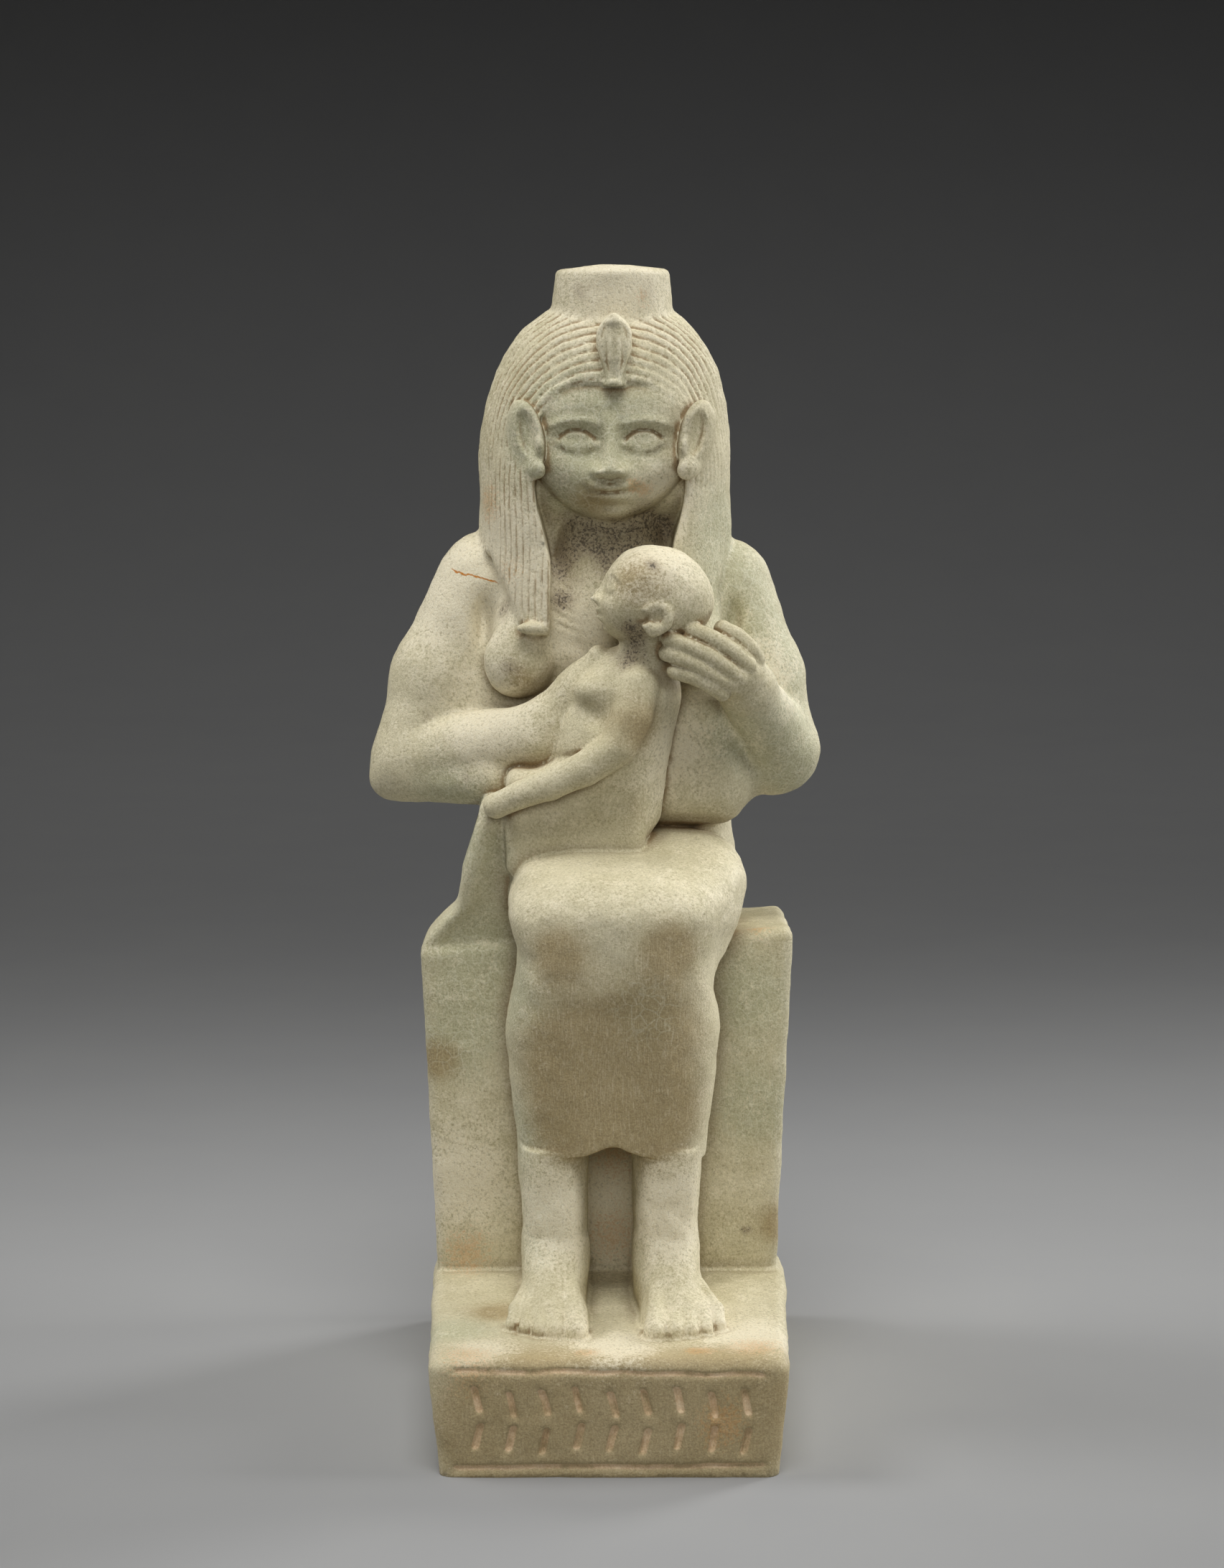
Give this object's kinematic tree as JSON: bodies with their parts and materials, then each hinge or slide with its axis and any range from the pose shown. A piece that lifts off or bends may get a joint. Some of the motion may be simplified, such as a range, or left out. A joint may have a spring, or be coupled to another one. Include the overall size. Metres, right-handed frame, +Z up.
{
  "type": "isis and horus figure",
  "caption": "Seated woman in a long wig and a close dress with a child across her lap, on a block throne and a low base, carved as one stone.",
  "frame": {"origin": "centre of the flat underside of the base", "axes": "+Z up, -Y towards the front that the woman faces, +X to the right of someone who looks at the front"},
  "size_m": [0.081, 0.096, 0.1995],
  "materials": {
    "stone": "carved pale green-grey stone, fine grained and scratched, worn smooth and cream on its edges, with brown and black deposit in its hollows"
  },
  "bodies": {
    "root": {"isis_and_horus_figure": "stone"}
  },
  "joints": []
}
